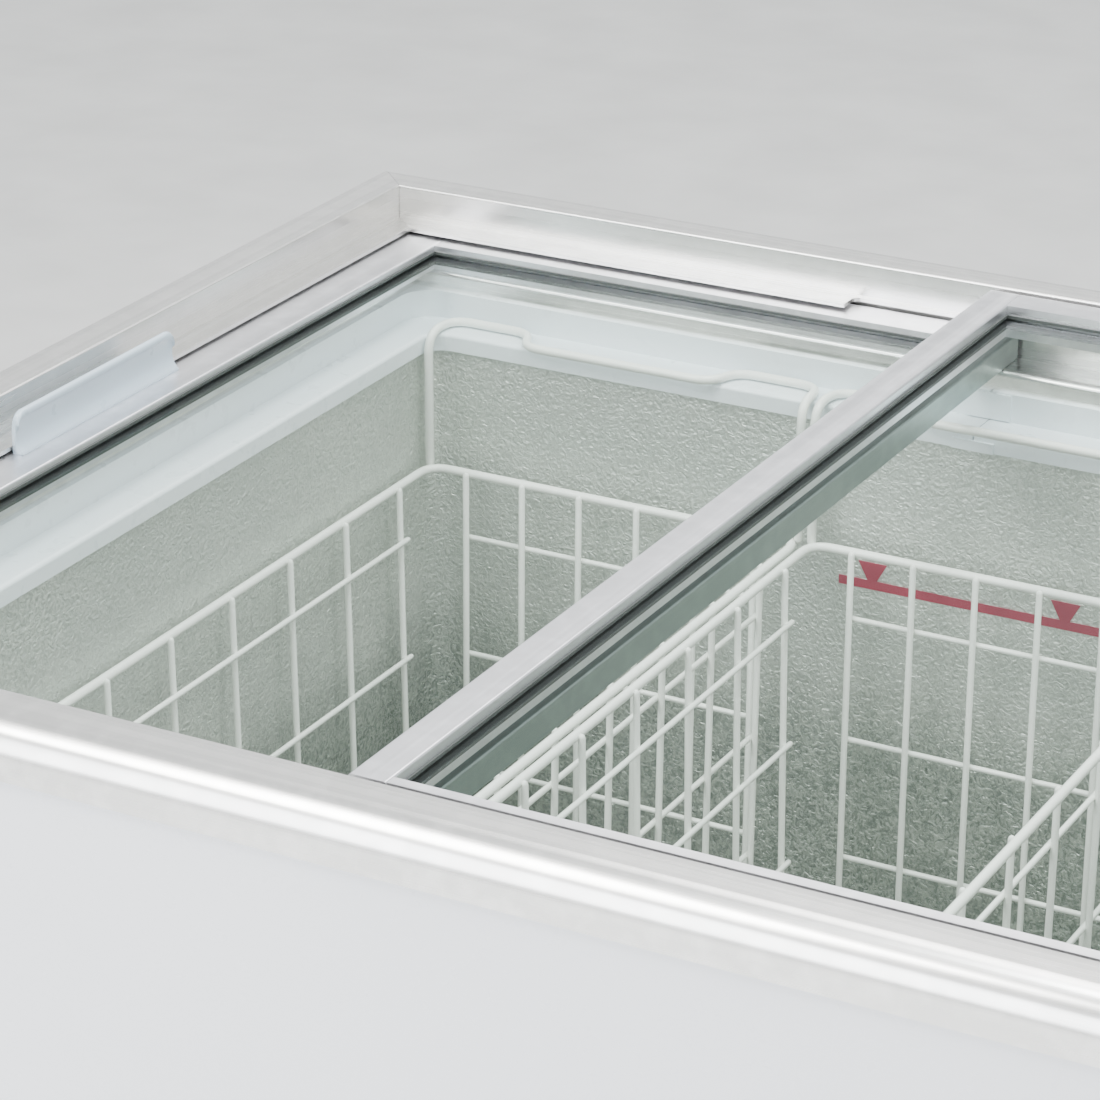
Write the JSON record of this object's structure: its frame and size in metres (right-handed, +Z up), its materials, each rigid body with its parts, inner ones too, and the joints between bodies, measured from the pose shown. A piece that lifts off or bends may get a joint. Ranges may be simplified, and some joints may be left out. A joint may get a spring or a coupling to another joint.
{
  "type": "ice cream chest cabinet",
  "caption": "Compact ice cream chest cabinet with an aluminium rim, sliding glass lids on two tracks, an insulated tank, lift-out wire baskets and castors.",
  "frame": {"origin": "middle of the footprint on the floor under the castors", "axes": "+Z up, +X to the right along the lids' tracks, -Y is the front with the grille and the control panel"},
  "size_m": [0.726, 0.642, 0.8984],
  "materials": {
    "rim_aluminium": "satin anodised",
    "steel": "zinc plated",
    "white_plastic": "smooth moulded",
    "stucco_aluminium": "fine embossed",
    "red_film": "printed film",
    "copper": "drawn copper",
    "foam": "expanded foam",
    "white_paint": "gloss powder coat",
    "grey_plastic": "fine grain",
    "black_plastic": "fine grain",
    "lamp_lens": "clear moulded",
    "rubber": "matt",
    "black_paint": "satin",
    "condenser_metal": "plain",
    "castor_tyre": "matt",
    "coated_wire": "dipped coating",
    "lid_aluminium": "satin anodised",
    "glass": "clear toughened",
    "handle_plastic": "smooth moulded"
  },
  "bodies": {
    "cabinet": {"rim_front": "rim_aluminium", "rim_rear": "rim_aluminium", "rim_left": "rim_aluminium", "rim_right": "rim_aluminium", "corner_keys": "steel", "rail_screws": "steel", "collar_left": "white_plastic", "collar_right": "white_plastic", "collar_clips": "white_plastic", "tank_wall": "stucco_aluminium", "tank_step": "stucco_aluminium", "tank_floor": "stucco_aluminium", "load_line_label": "red_film", "evaporator_coil": "copper", "foam_insulation": "foam", "panel_front": "white_paint", "panel_rear": "white_paint", "panel_left": "white_paint", "panel_right": "white_paint", "base_pan": "steel", "front_grille": "white_plastic", "rear_grille": "white_plastic", "control_panel": "grey_plastic", "thermostat": "black_plastic", "pilot_lamps": "lamp_lens", "power_inlet": "black_plastic", "compressor_mounts": "rubber", "compressor": "black_paint", "terminal_cover": "black_plastic", "condenser": "condenser_metal", "fan_shroud": "steel", "fan_motor": "black_paint", "refrigerant_lines": "copper", "drain_tube": "white_plastic", "lid_stops": "rubber", "castor_plates": "steel", "rear_forks": "steel"},
    "lower_lid": {"lower_lid_end_bar": "lid_aluminium", "lower_lid_meeting_bar": "lid_aluminium", "lower_lid_side_rails": "lid_aluminium", "lower_lid_glass": "glass", "lower_lid_gasket": "rubber", "lower_lid_handle": "handle_plastic"},
    "upper_lid": {"upper_lid_end_bar": "lid_aluminium", "upper_lid_meeting_bar": "lid_aluminium", "upper_lid_side_rails": "lid_aluminium", "upper_lid_glass": "glass", "upper_lid_gasket": "rubber", "upper_lid_handle": "handle_plastic"},
    "basket_1_body": {"basket_1": "coated_wire"},
    "basket_2_body": {"basket_2": "coated_wire"},
    "knob": {"thermostat_knob": "black_plastic"},
    "fan": {"fan_blade": "black_plastic"},
    "plug": {"drain_plug": "white_plastic"},
    "front_castor_left": {"front_fork_left": "steel"},
    "front_castor_right": {"front_fork_right": "steel"},
    "front_roller_left": {"front_wheel_left": "castor_tyre"},
    "front_roller_right": {"front_wheel_right": "castor_tyre"},
    "rear_roller_left": {"rear_wheel_left": "castor_tyre"},
    "rear_roller_right": {"rear_wheel_right": "castor_tyre"}
  },
  "joints": [
    {"name": "lower_lid_slide", "type": "slide", "parent": "cabinet", "child": "lower_lid", "axis": [1, 0, 0], "range_m": [0, 0.3]},
    {"name": "upper_lid_slide", "type": "slide", "parent": "cabinet", "child": "upper_lid", "axis": [1, 0, 0], "range_m": [-0.3, 0]},
    {"name": "basket_1_lift", "type": "slide", "parent": "cabinet", "child": "basket_1_body", "axis": [0, 0, 1], "range_m": [0, 0.018]},
    {"name": "basket_2_lift", "type": "slide", "parent": "cabinet", "child": "basket_2_body", "axis": [0, 0, 1], "range_m": [0, 0.018]},
    {"name": "thermostat_turn", "type": "hinge", "parent": "cabinet", "child": "knob", "pos_m": [0.2545, -0.3, 0.309], "axis": [0, -1, 0], "range_deg": [-270, 0]},
    {"name": "fan_spin", "type": "hinge", "parent": "cabinet", "child": "fan", "pos_m": [0.2845, -0.248, 0.156], "axis": [0, 1, 0], "continuous": true},
    {"name": "drain_plug_lift", "type": "slide", "parent": "cabinet", "child": "plug", "axis": [0, 0, 1], "range_m": [0, 0.03]},
    {"name": "front_swivel_left", "type": "hinge", "parent": "cabinet", "child": "front_castor_left", "pos_m": [-0.301, -0.259, 0.07], "axis": [0, 0, 1], "continuous": true},
    {"name": "front_roll_left", "type": "hinge", "parent": "front_castor_left", "child": "front_roller_left", "pos_m": [-0.301, -0.241, 0.025], "axis": [1, 0, 0], "continuous": true},
    {"name": "rear_roll_left", "type": "hinge", "parent": "cabinet", "child": "rear_roller_left", "pos_m": [-0.301, 0.241, 0.025], "axis": [1, 0, 0], "continuous": true},
    {"name": "front_swivel_right", "type": "hinge", "parent": "cabinet", "child": "front_castor_right", "pos_m": [0.301, -0.259, 0.07], "axis": [0, 0, 1], "continuous": true},
    {"name": "front_roll_right", "type": "hinge", "parent": "front_castor_right", "child": "front_roller_right", "pos_m": [0.301, -0.241, 0.025], "axis": [1, 0, 0], "continuous": true},
    {"name": "rear_roll_right", "type": "hinge", "parent": "cabinet", "child": "rear_roller_right", "pos_m": [0.301, 0.241, 0.025], "axis": [1, 0, 0], "continuous": true}
  ]
}
